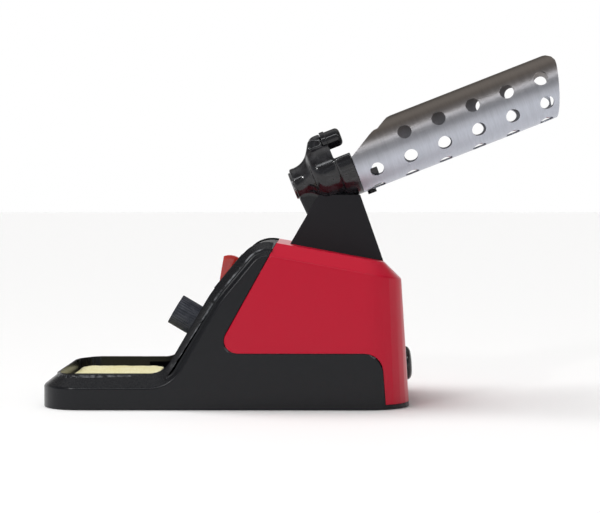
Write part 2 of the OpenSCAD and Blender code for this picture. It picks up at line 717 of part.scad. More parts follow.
module transformer_frame() color([0.6, 0.6, 0.62]) placed()
    translate([core_middle, 0, plate_top]) difference() {
        union() {
            translate([-30.2, -9, 0]) cube([60.4, 18, 51.6]);
            translate([-38.5, -9, 0]) cube([77, 18, strap_thick]);
        }
        translate([-28.6, -20, core_low[2] - plate_top]) cube([57.2, 40, core[2] + 0.1]);
        for (s = [-1, 1]) translate([s * strap_reach, 0, -1]) cylinder(r = strap_hole, h = 5);
    }

module transformer_bolts() color("silver") placed()
    for (p = transformer_feet) translate([p[0], p[1], plate_top + strap_thick])
        screw(3.4, 2.2, 1.95, 3.4);

// ---------------------------------------------------------------- control board
board_low = [88, -38, 11];
board = [56, 76, 1.6];
board_top = board_low[2] + board[2];
pillar_spots = [for (x = [92, 140], y = [-34, 34]) [x, y]];
rivet_radius = 1.55;
fuse_spot = [122, 22, board_top + 4.2];
fuse_radius = 2.6;

module board_pillars() color("goldenrod") placed()
    for (p = pillar_spots) translate([p[0], p[1], plate_top]) difference() {
        union() {
            cylinder(r = 2.8, h = board_low[2] - plate_top);
            translate([0, 0, -2]) cylinder(r = rivet_radius, h = 2);
        }
        translate([0, 0, 3]) cylinder(r = 1.25, h = 10);
    }

module control_board() color([0.05, 0.35, 0.16]) placed() difference() {
    translate(board_low) cube(board);
    for (p = pillar_spots) translate([p[0], p[1], 0]) cylinder(r = 1.6, h = 30);
}

module board_screws() color("silver") placed()
    for (p = pillar_spots) translate([p[0], p[1], board_top]) screw(2.6, 1.6, 1.25, 5);

// Two capacitors, a relay, a terminal block and a small chip
module board_parts() color([0.12, 0.12, 0.3]) placed() translate([0, 0, board_top]) {
    translate([102, -22, 0]) cylinder(r = 6.3, h = 16);
    translate([118, -24, 0]) cylinder(r = 5, h = 12);
    translate([98, 6, 0]) cube([16, 10, 9]);
    translate([96, 24, 0]) cube([20, 9, 11]);
    translate([124, 0, 0]) cube([9, 6, 3]);
}

module heat_sink() color([0.65, 0.66, 0.68]) placed() translate([126, -24, board_top]) difference() {
    cube([12, 18, 20]);
    for (y = [2.5, 7.5, 12.5]) translate([3, y, -1]) cube([20, 3, 30]);
}

module fuse() color([0.85, 0.88, 0.9]) placed() translate(fuse_spot)
    rotate([0, 90, 0]) cylinder(r = fuse_radius, h = 20);

module fuse_clips() color("silver") placed() for (x = [1, 15]) translate(fuse_spot + [x, 0, 0])
    difference() {
        translate([0, -3.6, board_top - fuse_spot[2]]) cube([4, 7.2, 6]);
        translate([-1, 0, 0]) rotate([0, 90, 0]) cylinder(r = fuse_radius + 0.02, h = 8);
        translate([-1, -1.8, 0]) cube([8, 3.6, 5]);
    }

base_housing();
control_panel();
rear_cover();
bottom_plate();
rubber_feet();
base_screws();
panel_screws();
sponge();
temperature_knob();
knob_pointer();
dial_ring();
pot_body();
pot_shaft();
pot_washer();
pot_nut();
switch_frame();
rocker();
rocker_pin();
switch_terminals();
pedestal();
pedestal_screws();
holder_head();
head_screw();
front_ring();
barrel_cap();
guard_tube();
guard_screw();
power_gland();
gland_nut();
iron_socket();
socket_insert();
socket_pins();
socket_nut();
transformer_core();
transformer_coil();
transformer_frame();
transformer_bolts();
board_pillars();
control_board();
board_screws();
board_parts();
heat_sink();
fuse();
fuse_clips();
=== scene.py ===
import json
import math

import bpy
from mathutils import Matrix, Vector


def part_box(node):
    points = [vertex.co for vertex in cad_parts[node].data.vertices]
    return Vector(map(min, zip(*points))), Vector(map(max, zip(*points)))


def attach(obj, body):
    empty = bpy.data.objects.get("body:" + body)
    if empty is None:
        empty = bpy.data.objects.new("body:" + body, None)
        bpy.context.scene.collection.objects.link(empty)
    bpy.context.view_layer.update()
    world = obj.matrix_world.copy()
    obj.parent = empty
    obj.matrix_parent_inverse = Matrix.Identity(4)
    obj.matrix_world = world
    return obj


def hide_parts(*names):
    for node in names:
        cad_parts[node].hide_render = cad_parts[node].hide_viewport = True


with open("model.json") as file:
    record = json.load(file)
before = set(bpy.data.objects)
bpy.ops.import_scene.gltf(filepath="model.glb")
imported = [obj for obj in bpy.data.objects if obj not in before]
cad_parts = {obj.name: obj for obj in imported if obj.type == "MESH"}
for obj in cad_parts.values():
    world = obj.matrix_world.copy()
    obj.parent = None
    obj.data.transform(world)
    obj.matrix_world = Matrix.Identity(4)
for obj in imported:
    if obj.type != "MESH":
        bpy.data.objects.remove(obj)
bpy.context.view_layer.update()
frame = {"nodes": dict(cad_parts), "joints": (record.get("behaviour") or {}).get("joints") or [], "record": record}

# ---------------------------------------------------------------- bench and light
# The station stands on a pale seamless bench, under a broad soft lamp overhead on the left. A long strip
# above the front shows only in reflections, and a small round lamp stands in front on the left. At table
# height the room is white behind and less than half as bright in front; above that a dim band goes round.
bpy.context.scene.view_settings.view_transform = "Standard"


def node(tree, kind, values=None, **settings):
    made = tree.nodes.new(kind)
    for key, value in settings.items():
        setattr(made, key, value)
    for socket, value in (values or {}).items():
        if isinstance(value, bpy.types.NodeSocket):
            tree.links.new(value, made.inputs[socket])
        else:
            made.inputs[socket].default_value = value
    return made


def ramp(tree, factor, stops):
    made = node(tree, "ShaderNodeValToRGB", {"Fac": factor})
    elements = made.color_ramp.elements
    while len(elements) < len(stops):
        elements.new(0.5)
    for element, (place, colour) in zip(elements, stops):
        element.position = place
        element.color = (*colour, 1)
    return made.outputs["Color"]


camera = bpy.data.objects.new("camera", bpy.data.cameras.new("camera"))
bpy.context.scene.collection.objects.link(camera)
camera_drop, camera_turn = math.radians(2.19), math.radians(0.50)
camera.location = (0.0058, -0.991, 0.1332)
camera.rotation_euler = (math.radians(90) - camera_drop, 0, camera_turn)
camera.data.lens = 88.56
bpy.context.scene.camera = camera

bpy.ops.object.select_all(action="DESELECT")
bpy.ops.mesh.primitive_plane_add(size=30)
bench = bpy.context.object
bench.name = "bench"
bench_white = bpy.data.materials.new("bench_white")
bench_white.use_nodes = True
bench_shader = bench_white.node_tree.nodes["Principled BSDF"]
bench_shader.inputs["Base Color"].default_value = (0.98, 0.98, 0.98, 1)
bench_shader.inputs["Roughness"].default_value = 0.8
bench.data.materials.append(bench_white)

room = bpy.data.worlds.new("room")
bpy.context.scene.world = room
room.use_nodes = True
room_tree = room.node_tree
room_way = node(room_tree, "ShaderNodeSeparateXYZ",
                {0: node(room_tree, "ShaderNodeTexCoord").outputs["Generated"]})
overhead = ramp(room_tree, room_way.outputs["Z"],
                [(0.0, (0, 0, 0)), (0.21, (0, 0, 0)), (0.4, (1, 1, 1)), (0.7, (1, 1, 1)),
                 (0.95, (0.2, 0.2, 0.2))])
in_front = node(room_tree, "ShaderNodeMapRange",
                {"Value": room_way.outputs["Y"], "From Min": 0.15, "From Max": -0.35}).outputs[0]
wall = node(room_tree, "ShaderNodeMix", {0: in_front, 6: (1, 1, 1, 1), 7: (0.4, 0.41, 0.43, 1)},
            data_type="RGBA").outputs[2]
sky = node(room_tree, "ShaderNodeMix", {0: overhead, 6: wall, 7: (0.2, 0.19, 0.18, 1)},
           data_type="RGBA").outputs[2]
room_tree.links.new(sky, room_tree.nodes["Background"].inputs["Color"])


def lamp(name, kind, place, target, energy, colour=(1, 1, 1), **settings):
    made = bpy.data.objects.new(name, bpy.data.lights.new(name, kind))
    bpy.context.scene.collection.objects.link(made)
    made.location = place
    made.rotation_euler = (Vector(target) - Vector(place)).to_track_quat("-Z", "Y").to_euler()
    made.data.energy = energy
    made.data.color = colour
    for key, value in settings.items():
        setattr(made.data, key, value)
    return made


broad = lamp("broad_lamp", "SUN", (-0.45, 0.1, 1.0), (0, 0, 0), energy=2.15, angle=math.radians(50))
broad.visible_glossy = False
strip = lamp("strip_lamp", "AREA", (0.1, -0.75, 0.75), (0.0, 0, 0.06), energy=3.0,
             colour=(0.95, 0.97, 1.0), shape="RECTANGLE", size=1.5, size_y=0.1)
strip.visible_diffuse = False
lamp("small_lamp", "AREA", (-0.55, -0.8, 0.5), (0, 0, 0.15), energy=1.5, shape="DISK", size=0.05)

# ---------------------------------------------------------------- bottom plate, feet and screws
# A flat moulded plate closes the housing from below. It stands on four rubber feet, pressed in, and six
# zinc-plated screws, sunk in counterbores, hold it to the bosses of both shells.
MM = 0.001


def effect(name, inputs, outputs):
    tree = bpy.data.node_groups.new(name, "ShaderNodeTree")
    for label, kind, start in inputs:
        tree.interface.new_socket(label, in_out="INPUT", socket_type=kind).default_value = start
    for label, kind in outputs:
        tree.interface.new_socket(label, in_out="OUTPUT", socket_type=kind)
    return tree, node(tree, "NodeGroupInput").outputs, node(tree, "NodeGroupOutput")


def maths(tree, operation, a, b=0.0, clamp=False):
    return node(tree, "ShaderNodeMath", {0: a, 1: b}, operation=operation, use_clamp=clamp).outputs[0]


def blend_colour(tree, factor, a, b):
    return node(tree, "ShaderNodeMix", {0: factor, 6: a, 7: b}, data_type="RGBA").outputs[2]


def blend_value(tree, factor, a, b):
    return node(tree, "ShaderNodeMix", {0: factor, 2: a, 3: b}, data_type="FLOAT").outputs[0]


def noise(tree, vector, scale, detail=2.0):
    return node(tree, "ShaderNodeTexNoise", {"Vector": vector, "Scale": scale, "Detail": detail}).outputs[0]


def place_on_part(tree):
    return node(tree, "ShaderNodeTexCoord").outputs["Object"]


FLOAT, COLOUR, VECTOR = "NodeSocketFloat", "NodeSocketColor", "NodeSocketVector"

# Moulded plastic has the fine grain of a spark-eroded tool.
grain, given, result = effect(
    "tool_grain", [("Size", FLOAT, 2500.0), ("Smooth", FLOAT, 0.3), ("Dull", FLOAT, 0.5)],
    [("Roughness", FLOAT), ("Height", FLOAT)])
part = place_on_part(grain)
fine = noise(grain, part, given["Size"])
cloud = noise(grain, part, 60.0, 3.0)
share = maths(grain, "ADD", maths(grain, "MULTIPLY", fine, 0.8), maths(grain, "MULTIPLY", cloud, 0.2))
grain.links.new(blend_value(grain, share, given["Smooth"], given["Dull"]), result.inputs["Roughness"])
grain.links.new(fine, result.inputs["Height"])

# Handling rubs its edges lighter, in patches. On the housing and the red cover this lighter edge colour
# also paints a highlight line along the rounded crease.
wear_and_highlight_group, given, result = effect(
    "edge_wear_and_highlight_effect", [("Colour", COLOUR, (0, 0, 0, 1)), ("Wear and highlight", COLOUR, (0.1, 0.1, 0.1, 1)),
                     ("Amount", FLOAT, 0.5)], [("Colour", COLOUR)])
edge = node(wear_and_highlight_group, "ShaderNodeAttribute", attribute_name="edge").outputs["Fac"]
patchy = node(wear_and_highlight_group, "ShaderNodeMapRange",
              {"Value": noise(wear_and_highlight_group, place_on_part(wear_and_highlight_group), 240.0, 4.0), "From Min": 0.4, "From Max": 0.65})
wear_and_highlight_here = maths(wear_and_highlight_group, "MULTIPLY", maths(wear_and_highlight_group, "MULTIPLY", edge, patchy.outputs[0]),
                  given["Amount"], True)
wear_and_highlight_group.links.new(blend_colour(wear_and_highlight_group, wear_and_highlight_here, given["Colour"], given["Wear and highlight"]), result.inputs["Colour"])

# A little dust settles on what faces up.
dusty, given, result = effect(
    "settled_dust", [("Colour", COLOUR, (0, 0, 0, 1)), ("Dust", COLOUR, (0.4, 0.38, 0.35, 1)),
                     ("Amount", FLOAT, 0.1)], [("Colour", COLOUR), ("Mask", FLOAT)])
facing = node(dusty, "ShaderNodeSeparateXYZ", {0: node(dusty, "ShaderNodeNewGeometry").outputs["Normal"]})
upward = node(dusty, "ShaderNodeMapRange", {"Value": facing.outputs["Z"], "From Min": 0.2, "From Max": 1.0})
speckle = node(dusty, "ShaderNodeMapRange",
               {"Value": noise(dusty, place_on_part(dusty), 900.0, 3.0), "From Min": 0.35, "From Max": 0.75})
dust_here = maths(dusty, "MULTIPLY", maths(dusty, "MULTIPLY", upward.outputs[0], speckle.outputs[0]),
                  given["Amount"], True)
dusty.links.new(blend_colour(dusty, dust_here, given["Colour"], given["Dust"]), result.inputs["Colour"])
dusty.links.new(dust_here, result.inputs["Mask"])

# Metal parts have drawn or brushed streaks.
streaks, given, result = effect(
    "drawn_streaks", [("Vector", VECTOR, (0, 0, 0)), ("Fine", FLOAT, 3000.0), ("Smooth", FLOAT, 0.25),
                      ("Dull", FLOAT, 0.45)], [("Tone", FLOAT), ("Roughness", FLOAT), ("Height", FLOAT)])
hair = noise(streaks, given["Vector"], given["Fine"], 1.0)
wide = noise(streaks, given["Vector"], maths(streaks, "MULTIPLY", given["Fine"], 0.17), 3.0)
tone = maths(streaks, "ADD", maths(streaks, "MULTIPLY", hair, 0.6), maths(streaks, "MULTIPLY", wide, 0.4))
streaks.links.new(tone, result.inputs["Tone"])
streaks.links.new(blend_value(streaks, tone, given["Smooth"], given["Dull"]), result.inputs["Roughness"])
streaks.links.new(hair, result.inputs["Height"])


def new_finish(name, metallic=0.0, **shader_values):
    material = bpy.data.materials.new(name)
    material.use_nodes = True
    shader = material.node_tree.nodes["Principled BSDF"]
    shader.inputs["Metallic"].default_value = metallic
    for key, value in shader_values.items():
        shader.inputs[key.replace("_", " ").title().replace("Ior", "IOR")].default_value = value
    return material, material.node_tree, shader


def moulded(name, colour, smooth, dull, size=2500.0, depth=0.02, dust=0.05, wear_and_highlight_colour=(0.12, 0.12, 0.13),
            wear_and_highlight_amount=0.3, **shader_values):
    material, tree, shader = new_finish(name, **shader_values)
    skin = node(tree, "ShaderNodeGroup", {"Size": size, "Smooth": smooth, "Dull": dull}, node_tree=grain)
    wear_and_highlight_tone = node(tree, "ShaderNodeGroup", {"Colour": (*colour, 1), "Wear and highlight": (*wear_and_highlight_colour, 1), "Amount": wear_and_highlight_amount},
               node_tree=wear_and_highlight_group)
    top = node(tree, "ShaderNodeGroup", {"Colour": wear_and_highlight_tone.outputs["Colour"], "Amount": dust}, node_tree=dusty)
    bump = node(tree, "ShaderNodeBump", {"Strength": 0.6, "Distance": depth * MM,
                                         "Height": skin.outputs["Height"]})
    tree.links.new(top.outputs["Colour"], shader.inputs["Base Color"])
    dulled = maths(tree, "MULTIPLY", top.outputs["Mask"], 0.4)
    tree.links.new(maths(tree, "ADD", skin.outputs["Roughness"], dulled, True), shader.inputs["Roughness"])
    tree.links.new(bump.outputs["Normal"], shader.inputs["Normal"])
    return material


def drawn(name, dark, light, smooth, dull, stretch=(1, 1, 12), fine=3000.0, depth=0.01, metallic=1.0,
          **shader_values):
    material, tree, shader = new_finish(name, metallic, **shader_values)
    pulled = node(tree, "ShaderNodeMapping",
                  {"Vector": place_on_part(tree), "Scale": tuple(1 / s for s in stretch)})
    lines = node(tree, "ShaderNodeGroup", {"Vector": pulled.outputs[0], "Fine": fine, "Smooth": smooth,
                                           "Dull": dull}, node_tree=streaks)
    bump = node(tree, "ShaderNodeBump", {"Strength": 0.5, "Distance": depth * MM,
                                         "Height": lines.outputs["Height"]})
    tree.links.new(ramp(tree, lines.outputs["Tone"], [(0.3, dark), (0.7, light)]),
                   shader.inputs["Base Color"])
    tree.links.new(lines.outputs["Roughness"], shader.inputs["Roughness"])
    tree.links.new(bump.outputs["Normal"], shader.inputs["Normal"])
    return material


def finish_node(name, material):
    mesh = frame["nodes"][name].data
    mesh.materials.clear()
    mesh.materials.append(material)


zinc = drawn("zinc_plated", (0.42, 0.42, 0.43), (0.6, 0.59, 0.56), smooth=0.25, dull=0.42,
             stretch=(1, 1, 1), fine=900.0)
finish_node("bottom_plate", moulded("plate_black", (0.02, 0.02, 0.022), smooth=0.45, dull=0.6,
                                    size=1600.0, depth=0.05, wear_and_highlight_amount=0))
finish_node("rubber_feet", moulded("rubber_black", (0.012, 0.012, 0.012), smooth=0.7, dull=0.9,
                                   size=1200.0, depth=0.06, dust=0.2, wear_and_highlight_amount=0, specular_ior_level=0.25))
for screws in ("base_screws", "panel_screws", "pedestal_screws", "head_screw", "board_screws",
               "transformer_bolts"):
    finish_node(screws, zinc)

# ---------------------------------------------------------------- base housing
# The black shell: one injection moulding with the sponge tray, the sloping cheeks beside the panel and
# the strip that runs under the red cover. The crease above its walls has the radius of the tool.


def choose(piece):
    bpy.ops.object.select_all(action="DESELECT")
    piece.select_set(True)
    bpy.context.view_layer.objects.active = piece


def edit(piece, *steps):
    """Runs edit-mode operators on the whole mesh: each step is an operator and its settings."""
    choose(piece)
    bpy.ops.object.mode_set(mode="EDIT")
    bpy.ops.mesh.select_all(action="SELECT")
    for operator, settings in steps:
        operator(**settings)
    bpy.ops.object.mode_set(mode="OBJECT")


def apply(piece, name, kind, **settings):
    choose(piece)
    modifier = piece.modifiers.new(name, kind)
    for key, value in settings.items():
        setattr(modifier, key, value)
    bpy.ops.object.modifier_apply(modifier=name)


def mark_edges(piece):
    """Marks the narrow faces that a rounding leaves, for the lighter edge colour of wear and painted highlight;
    broad faces stay clean.
    """
    narrow_side, small_area = 0.4 * MM, 90 * MM ** 2
    mesh = piece.data
    layer = mesh.attributes.get("edge") or mesh.attributes.new("edge", "FLOAT", "CORNER")
    for face in mesh.polygons:
        spots = [mesh.vertices[i].co for i in face.vertices]
        shortest = min((a - b).length for a, b in zip(spots, spots[1:] + spots[:1]))
        rounding = shortest < narrow_side and face.area < small_area and len(spots) == 4
        for corner in face.loop_indices:
            layer.data[corner].value = 1.0 if rounding else 0.0


def joined(piece, body, slot, material, *nodes):
    """Gives a finished piece its material and the body it rides on, and hides the nodes it stands for; its slot is
    not used.
    """
    piece.data.materials.clear()
    piece.data.materials.append(material)
    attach(piece, body)
    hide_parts(*nodes)


def round_creases(piece, width, segments):
    """Rounds the long creases where the outer walls turn into the slanting band above them."""
    middle_x, least_turn = -0.05, 0.3
    mesh = piece.data
    sides = {}
    for face in mesh.polygons:
        for key in face.edge_keys:
            sides.setdefault(key, []).append(face.normal)
    weights = mesh.attributes.new("bevel_weight_edge", "FLOAT", "EDGE")
    for line in mesh.edges:
        normals = sides.get(line.key, [])
        if len(normals) != 2:
            continue
        wall, band = sorted(normals, key=lambda normal: abs(normal.z))
        end = mesh.vertices[line.vertices[0]].co
        outwards = wall.x * (end.x - middle_x) + wall.y * end.y > 0
        upright, slanting = abs(wall.z) < 0.15, 0.25 < band.z < 0.95
        if outwards and upright and slanting and wall.angle(band, 0.0) > least_turn:
            weights.data[line.index].value = 1.0
    apply(piece, "creases", "BEVEL", width=width * MM, segments=segments, limit_method="WEIGHT",
          use_clamp_overlap=False)


def softened(source, name, width, segments=2, angle=25, crease=0.0):
    """A copy of a machined solid with its sharp edges rounded, or only its long creases."""
    piece = bpy.data.objects.new(name, frame["nodes"][source].data.copy())
    bpy.context.scene.collection.objects.link(piece)
    edit(piece, (bpy.ops.mesh.remove_doubles, {"threshold": 1e-6}),
         (bpy.ops.mesh.dissolve_limited, {"angle_limit": math.radians(0.6)}))
    if crease:
        round_creases(piece, crease, 4)
    if width:
        apply(piece, "rounding", "BEVEL", width=width * MM, segments=segments, limit_method="ANGLE",
              angle_limit=math.radians(angle), miter_outer="MITER_ARC", use_clamp_overlap=True)
    mark_edges(piece)
    choose(piece)
    bpy.ops.object.shade_smooth_by_angle(angle=math.radians(30))
    apply(piece, "flat_faces", "WEIGHTED_NORMAL", keep_sharp=True, weight=80)
    return piece


# The light bluish edge colour falls mostly on the rounded crease: partly rubbing, partly a painted highlight line.
housing_black = moulded("housing_black", (0.006, 0.0066, 0.0088), smooth=0.24, dull=0.3, size=4000.0,
                        depth=0.008, dust=0.03, wear_and_highlight_colour=(0.3, 0.31, 0.33), wear_and_highlight_amount=0.6, specular_ior_level=0.3)
housing = softened("base_housing", "housing_shell", width=0, crease=1.0)
joined(housing, "station", "housing_black", housing_black, "base_housing")

# ---------------------------------------------------------------- transformer
# A stack of varnished steel laminations with a taped winding on its middle leg, held by a bent steel
# strap that is bolted to the bottom plate.


def layered(name, dark, light, pitch, axis, **shader_values):
    """A stack seen from its edge: thin layers, each a little lighter or darker."""
    material, tree, shader = new_finish(name, **shader_values)
    place = node(tree, "ShaderNodeSeparateXYZ", {0: place_on_part(tree)}).outputs[axis]
    step = maths(tree, "DIVIDE", place, pitch * MM)
    seam = maths(tree, "PINGPONG", step, 0.5)
    layer = node(tree, "ShaderNodeTexWhiteNoise", {"W": maths(tree, "FLOOR", step)},
                 noise_dimensions="1D").outputs["Value"]
    tone = maths(tree, "MULTIPLY", layer, maths(tree, "MULTIPLY", seam, 4.0, True))
    bump = node(tree, "ShaderNodeBump", {"Strength": 0.7, "Distance": 0.1 * MM, "Height": seam})
    tree.links.new(ramp(tree, tone, [(0.0, dark), (1.0, light)]), shader.inputs["Base Color"])
    tree.links.new(maths(tree, "ADD", maths(tree, "MULTIPLY", layer, 0.2), 0.35), shader.inputs["Roughness"])
    tree.links.new(bump.outputs["Normal"], shader.inputs["Normal"])
    return material


finish_node("transformer_core", layered("laminations", (0.03, 0.03, 0.032), (0.13, 0.13, 0.135),
                                        pitch=0.5, axis="Y", metallic=0.4))
finish_node("transformer_coil", layered("winding_tape", (0.45, 0.26, 0.04), (0.8, 0.52, 0.12),
                                        pitch=6.0, axis="Z", coat_weight=0.3))
finish_node("transformer_frame", drawn("strap_steel", (0.4, 0.4, 0.41), (0.62, 0.62, 0.63), smooth=0.28,
                                       dull=0.45, stretch=(12, 1, 1)))

# ---------------------------------------------------------------- control board
# A green board on four brass pillars carries the parts that hold the tip's heat: capacitors, a relay, a
# terminal block, a finned cooler and a glass fuse in spring clips.
board_green, tree, shader = new_finish("board_green", coat_weight=0.4)
traces = node(tree, "ShaderNodeTexBrick", {"Vector": place_on_part(tree), "Color1": (0.02, 0.16, 0.06, 1),
                                           "Color2": (0.015, 0.12, 0.045, 1), "Mortar": (0.03, 0.26, 0.1, 1),
                                           "Scale": 180.0, "Mortar Size": 0.03}, offset=0.37)
tree.links.new(traces.outputs["Color"], shader.inputs["Base Color"])
tree.links.new(maths(tree, "ADD", maths(tree, "MULTIPLY", traces.outputs["Fac"], 0.15), 0.3),
               shader.inputs["Roughness"])
tree.links.new(node(tree, "ShaderNodeBump", {"Strength": 0.4, "Distance": 0.04 * MM,
                                             "Height": traces.outputs["Fac"]}).outputs[0],
               shader.inputs["Normal"])
finish_node("control_board", board_green)
brass = drawn("brass", (0.6, 0.42, 0.14), (0.85, 0.66, 0.3), smooth=0.2, dull=0.35, stretch=(1, 1, 1),
              fine=1200.0)
nickel = drawn("nickel", (0.5, 0.49, 0.47), (0.72, 0.71, 0.68), smooth=0.15, dull=0.3,
               stretch=(1, 1, 1), fine=1500.0)
finish_node("board_pillars", brass)
finish_node("board_parts", moulded("parts_dark", (0.03, 0.03, 0.07), smooth=0.35, dull=0.5, size=2000.0,
                                   depth=0.02, wear_and_highlight_amount=0))
finish_node("heat_sink", drawn("sink_aluminium", (0.5, 0.5, 0.51), (0.68, 0.68, 0.7), smooth=0.25,
                               dull=0.4, stretch=(1, 1, 14)))
finish_node("fuse", moulded("fuse_glass", (0.75, 0.8, 0.82), smooth=0.04, dull=0.1, size=900.0,
                            depth=0.01, dust=0.1, wear_and_highlight_amount=0, transmission_weight=0.7))
finish_node("fuse_clips", nickel)

# ---------------------------------------------------------------- control panel
# The black panel between the cheeks, a little rougher than they are, screwed to ledges from inside.
panel_black = moulded("panel_black", (0.014, 0.0145, 0.017), smooth=0.42, dull=0.5, size=1800.0,
                      depth=0.03, dust=0.04, wear_and_highlight_amount=0.2, specular_ior_level=0.35)
panel = softened("control_panel", "panel", width=0.3, segments=2)
joined(panel, "station", "panel_black", panel_black, "control_panel")

# ---------------------------------------------------------------- temperature control
# A potentiometer with a 6 mm shaft behind the panel, and round it an anodised dial plate with a scale of
# eleven marks. The knob has 36 grip ribs, a turned-down face and a white line that points at the scale.
turn = next(j for j in frame["joints"] if j["name"] == "knob_turn")
knob_axis = Vector(turn["axis"])
up_panel = Vector((knob_axis.z, 0, -knob_axis.x))


def standing(origin, along, out):
    """A frame whose x runs along one direction and whose z stands out along another."""
    out = out.normalized()
    along = along.normalized()
    side = out.cross(along)
    return Matrix.Translation(origin) @ Matrix((along, side, out)).transposed().to_4x4()


def put(piece, place):
    """Puts a piece drawn at the origin in its place, with the place kept in its mesh."""
    piece.data.transform(place)


def named(name):
    """The primitive that was added last, under its own name."""
    bpy.context.object.name = name
    return bpy.context.object


def pick(piece, test):
    """Selects the faces that pass a test, for the next edit-mode operator."""
    if bpy.context.mode != "OBJECT":
        bpy.ops.object.mode_set(mode="OBJECT")
    choose(piece)
    bpy.ops.object.mode_set(mode="EDIT")
    bpy.ops.mesh.select_mode(type="FACE")
    bpy.ops.mesh.select_all(action="DESELECT")
    bpy.ops.object.mode_set(mode="OBJECT")
    for face in piece.data.polygons:
        face.select = test(face)
    bpy.ops.object.mode_set(mode="EDIT")


def leave(piece, width, segments=2, angle=30, smooth=35):
    """Leaves edit mode, rounds the edges and shades the piece."""
    bpy.ops.object.mode_set(mode="OBJECT")
    if width:
        apply(piece, "rounding", "BEVEL", width=width * MM, segments=segments, limit_method="ANGLE",
              angle_limit=math.radians(angle))
    mark_edges(piece)
    choose(piece)
    bpy.ops.object.shade_smooth_by_angle(angle=math.radians(smooth))


def clear_selection():
    bpy.ops.object.select_all(action="DESELECT")


knob_place = standing(Vector(turn["pos_m"]), up_panel, knob_axis)
knob_radius, knob_back, knob_face = 11.0 * MM, -0.5 * MM, 16.3 * MM
knob_ribs, rib_depth = 36, 0.5 * MM
rim_width, rim_slope, rim_drop = 1.1 * MM, 1.0 * MM, 0.35 * MM
face_run, hollow_run, hollow_drop = 5.0 * MM, 2.0 * MM, 0.15 * MM
skirt_wall, skirt_depth = 2.6 * MM, 4.5 * MM
clear_selection()
bpy.ops.mesh.primitive_cylinder_add(vertices=knob_ribs * 4, radius=knob_radius - rib_depth,
                                    depth=knob_face - knob_back, end_fill_type="NGON",
                                    location=(0, 0, (knob_face + knob_back) / 2))
knob = named("ribbed_knob")
bpy.ops.object.transform_apply(location=True)
pick(knob, lambda face: face.normal.z > 0.9)
bpy.ops.mesh.inset(thickness=rim_width)
bpy.ops.mesh.inset(thickness=rim_slope)
bpy.ops.transform.translate(value=(0, 0, -rim_drop))
bpy.ops.mesh.inset(thickness=face_run)
bpy.ops.mesh.inset(thickness=hollow_run)
bpy.ops.transform.translate(value=(0, 0, -hollow_drop))
pick(knob, lambda face: face.normal.z < -0.9)
bpy.ops.mesh.inset(thickness=skirt_wall)
bpy.ops.mesh.extrude_region_move(TRANSFORM_OT_translate={"value": (0, 0, skirt_depth)})


def on_rib(face):
    on_grip = knob_radius - 2 * rib_depth
    turned = math.degrees(math.atan2(face.center.y, face.center.x)) % (360 / knob_ribs)
    return abs(face.normal.z) < 0.1 and turned < 180 / knob_ribs and face.center.xy.length > on_grip


pick(knob, on_rib)
bpy.ops.mesh.extrude_region_shrink_fatten(TRANSFORM_OT_shrink_fatten={"value": -rib_depth})
leave(knob, width=0.12, segments=2, angle=30)
put(knob, knob_place)
knob_slate = moulded("knob_slate", (0.04, 0.045, 0.062), smooth=0.4, dull=0.5, size=3000.0, depth=0.02,
                     dust=0.05, wear_and_highlight_colour=(0.14, 0.15, 0.18), wear_and_highlight_amount=0.4, specular_ior_level=0.4)
joined(knob, "knob", "knob_slate", knob_slate, "temperature_knob")

line_long, line_wide, line_high, line_middle = 7.2 * MM, 1.1 * MM, 0.5 * MM, 5.2 * MM
clear_selection()
bpy.ops.mesh.primitive_cube_add(size=1, scale=(line_long, line_wide, line_high),
                                location=(line_middle, 0, knob_face - line_high / 2))
pointer = named("white_pointer")
bpy.ops.object.transform_apply(location=True, scale=True)
pick(pointer, lambda face: face.normal.z > 0.9)
leave(pointer, width=0.1, segments=2)
put(pointer, knob_place)
mark_white = moulded("mark_white", (0.8, 0.8, 0.77), smooth=0.35, dull=0.5, size=2500.0, depth=0.01,
                     dust=0.1, wear_and_highlight_colour=(0.5, 0.5, 0.48), wear_and_highlight_amount=0.3)
joined(pointer, "knob", "mark_white", mark_white, "knob_pointer")

dial_radius, dial_thick, dial_level = 17.2 * MM, 0.4 * MM, -1.0 * MM
dial_rim, dial_band = 0.35 * MM, 4.85 * MM
clear_selection()
bpy.ops.mesh.primitive_cylinder_add(vertices=96, radius=dial_radius, depth=dial_thick,
                                    location=(0, 0, dial_level))
plate = named("dial_plate")
bpy.ops.object.transform_apply(location=True)
pick(plate, lambda face: abs(face.normal.z) > 0.9)
bpy.ops.mesh.inset(thickness=dial_rim)
bpy.ops.mesh.inset(thickness=dial_band)
bpy.ops.mesh.bridge_edge_loops()
leave(plate, width=0.08, segments=2)
put(plate, knob_place)
dial_print = drawn("dial_plate", (0.1, 0.1, 0.105), (0.2, 0.2, 0.21), smooth=0.3, dull=0.45,
                   stretch=(1, 14, 1))
joined(plate, "station", "dial_print", dial_print, "dial_ring")

scale_start, mark_width, mark_height, mark_level = 13.2, 0.45 * MM, 0.12 * MM, -0.76 * MM
scale_marks = []
for k in range(11):
    angle = math.radians(-150 + 30 * k)
    long = 2.2 if k % 5 == 0 else 1.4
    clear_selection()
    bpy.ops.mesh.primitive_cube_add(size=1, scale=(long * MM, mark_width, mark_height),
                                    location=((scale_start + long / 2) * MM, 0, mark_level))
    mark = named("mark")
    bpy.ops.object.transform_apply(location=True, scale=True)
    pick(mark, lambda face: face.normal.z > 0.9)
    bpy.ops.mesh.inset(thickness=0.05 * MM)
    bpy.ops.object.mode_set(mode="OBJECT")
    put(mark, knob_place @ Matrix.Rotation(angle, 4, "Z"))
    scale_marks.append(mark)
clear_selection()
for mark in scale_marks:
    mark.select_set(True)
bpy.context.view_layer.objects.active = scale_marks[0]
bpy.ops.object.join()
marks = named("dial_marks")
mark_edges(marks)
joined(marks, "station", "mark_white", mark_white)

